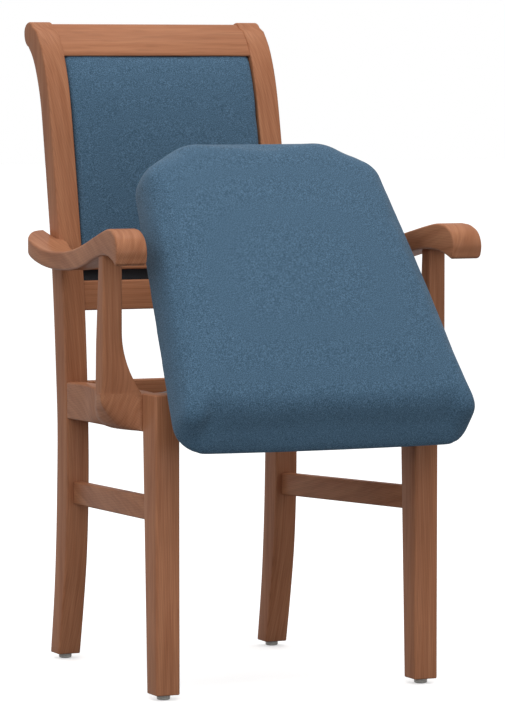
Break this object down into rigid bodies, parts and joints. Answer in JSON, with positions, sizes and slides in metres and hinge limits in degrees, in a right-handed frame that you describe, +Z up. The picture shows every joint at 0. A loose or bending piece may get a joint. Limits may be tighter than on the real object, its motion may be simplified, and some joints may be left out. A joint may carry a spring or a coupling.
{
  "type": "lift chair",
  "caption": "Upright wooden armchair with an upholstered back and a padded seat that tilts forward on a front hinge to lift the sitter.",
  "frame": {"origin": "centre of the footprint of the whole chair, seat raised, on the floor", "axes": "+Z up, the chair faces -Y, +X is to the right of a viewer who looks at its front"},
  "size_m": [0.5926, 0.7432, 1],
  "materials": {
    "beech": "stained and lacquered, satin",
    "blue_cloth": "woven melange upholstery cloth",
    "black_cloth": "thin lining cloth",
    "plywood": "birch plywood, raw",
    "zinc_steel": "zinc plated",
    "black_steel": "black powder coat",
    "bronze": "sintered bronze",
    "rubber": "matt",
    "glide": "pale grey moulded plastic"
  },
  "bodies": {
    "frame": {"front_leg_left": "beech", "front_leg_right": "beech", "rear_leg_left": "beech", "rear_leg_right": "beech", "front_rail": "beech", "rear_rail": "beech", "side_rail_left": "beech", "side_rail_right": "beech", "arm_support_left": "beech", "arm_support_right": "beech", "armrest_left": "beech", "armrest_right": "beech", "stretcher_left": "beech", "stretcher_right": "beech", "corner_blocks": "beech", "crest_rail": "beech", "back_panel_rail": "beech", "lower_back_rail": "beech", "mechanism_bar": "beech", "arm_dowels": "beech", "back_pad": "blue_cloth", "back_cover": "blue_cloth", "back_board": "plywood", "back_lining": "black_cloth", "seat_buffers": "rubber", "glides": "glide", "strut_nuts": "zinc_steel", "bracket_screws": "zinc_steel", "pivot_bracket_left": "black_steel", "pivot_bracket_right": "black_steel", "strut_cylinder_left": "black_steel", "strut_cylinder_right": "black_steel", "strut_saddles": "black_steel", "hinge_bush_left": "bronze", "hinge_bush_right": "bronze"},
    "seat": {"seat_board": "plywood", "seat_pad": "blue_cloth", "seat_lining": "black_cloth", "hinge_shaft": "zinc_steel", "shaft_collars": "zinc_steel", "swan_neck_left": "black_steel", "swan_neck_right": "black_steel", "slot_lever_left": "black_steel", "slot_lever_right": "black_steel", "neck_screws": "zinc_steel", "lever_screws": "zinc_steel"},
    "rod_left": {"strut_rod_left": "zinc_steel"},
    "rod_right": {"strut_rod_right": "zinc_steel"}
  },
  "joints": [
    {"name": "seat_tilt", "type": "hinge", "parent": "frame", "child": "seat", "pos_m": [0, -0.22833, 0.375], "axis": [1, 0, 0], "range_deg": [-54, 0], "stiffness_Nm_per_rad": 16, "springref_deg": 51.57},
    {"name": "strut_slide_left", "type": "slide", "parent": "frame", "child": "rod_left", "axis": [0, -0.9903, 0.1392], "range_m": [-0.0857, 0]},
    {"name": "strut_slide_right", "type": "slide", "parent": "frame", "child": "rod_right", "axis": [0, -0.9903, 0.1392], "range_m": [-0.0857, 0]}
  ],
  "couplings": [
    {"joint": "strut_slide_left", "follows": "seat_tilt", "m_per_rad": 0.090825},
    {"joint": "strut_slide_right", "follows": "seat_tilt", "m_per_rad": 0.090825}
  ]
}
